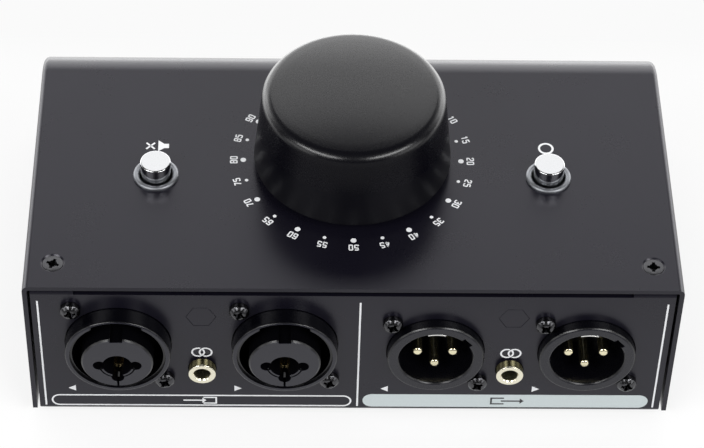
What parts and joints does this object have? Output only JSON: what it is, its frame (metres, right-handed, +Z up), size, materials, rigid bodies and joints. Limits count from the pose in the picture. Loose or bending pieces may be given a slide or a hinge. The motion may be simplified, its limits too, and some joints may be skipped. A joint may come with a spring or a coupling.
{
  "type": "studio monitor controller",
  "caption": "Desktop volume controller for studio speakers: bent-steel box with a large knob, push buttons, combination inputs, balanced outputs and small stereo jacks.",
  "frame": {"origin": "on the surface that the feet stand on, under the middle of the outer box, connectors included", "axes": "+X to the user's right, +Y towards the connectors at the rear, +Z up"},
  "size_m": [0.149, 0.1026, 0.0683],
  "materials": {
    "coated_steel": "fine matt black powder coat",
    "black_screw": "black zinc, slightly glossy",
    "knob_rubber": "satin black soft-touch moulding",
    "chrome": "polished",
    "bezel_grey": "satin grey",
    "shell_plastic": "fine-grained black moulding",
    "core_plastic": "satin charcoal moulding",
    "insert_plastic": "smooth black moulding",
    "pin_plating": "pale plated, polished",
    "nickel": "nickel-plated, slightly warm",
    "contact_brass": "drawn",
    "zinc_steel": "zinc-plated",
    "bushing_brass": "turned",
    "foot_rubber": "matt black",
    "board_green": "solder mask",
    "black_plastic": "plain"
  },
  "bodies": {
    "case": {"cover": "coated_steel", "base_tray": "coated_steel", "foot_rear_left": "foot_rubber", "foot_rear_right": "foot_rubber", "foot_front_left": "foot_rubber", "foot_front_right": "foot_rubber", "cover_screws": "black_screw", "base_screws": "black_screw", "pot_housing": "zinc_steel", "pot_bushing": "bushing_brass", "pot_washer": "zinc_steel", "pot_nut": "zinc_steel", "mute_bezel": "bezel_grey", "mute_switch": "black_plastic", "mono_bezel": "bezel_grey", "mono_switch": "black_plastic", "input_left_shell": "shell_plastic", "input_left_core": "core_plastic", "input_left_contacts": "contact_brass", "input_right_shell": "shell_plastic", "input_right_core": "core_plastic", "input_right_contacts": "contact_brass", "output_left_shell": "shell_plastic", "output_left_insert": "insert_plastic", "output_left_pins": "pin_plating", "output_left_ground_tab": "nickel", "output_right_shell": "shell_plastic", "output_right_insert": "insert_plastic", "output_right_pins": "pin_plating", "output_right_ground_tab": "nickel", "mini_input_barrel": "nickel", "mini_input_body": "black_plastic", "mini_input_legs": "nickel", "mini_output_barrel": "nickel", "mini_output_body": "black_plastic", "mini_output_legs": "nickel", "connector_screws": "black_screw", "panel_studs": "zinc_steel", "stud_screws": "zinc_steel", "connector_board": "board_green", "control_board": "board_green", "board_link": "black_plastic"},
    "knob": {"volume_knob": "knob_rubber", "pot_shaft": "zinc_steel"},
    "mute_button": {"mute_cap": "chrome", "mute_stem": "black_plastic"},
    "mono_button": {"mono_cap": "chrome", "mono_stem": "black_plastic"}
  },
  "joints": [
    {"name": "volume_turn", "type": "hinge", "parent": "case", "child": "knob", "pos_m": [0, 0.00511, 0.0448], "axis": [0, 0, -1], "range_deg": [0, 300]},
    {"name": "mute_press", "type": "slide", "parent": "case", "child": "mute_button", "axis": [0, 0, -1], "range_m": [0, 0.0025], "stiffness_N_per_m": 500, "springref_m": -0.002},
    {"name": "mono_press", "type": "slide", "parent": "case", "child": "mono_button", "axis": [0, 0, -1], "range_m": [0, 0.0025], "stiffness_N_per_m": 500, "springref_m": -0.002}
  ]
}
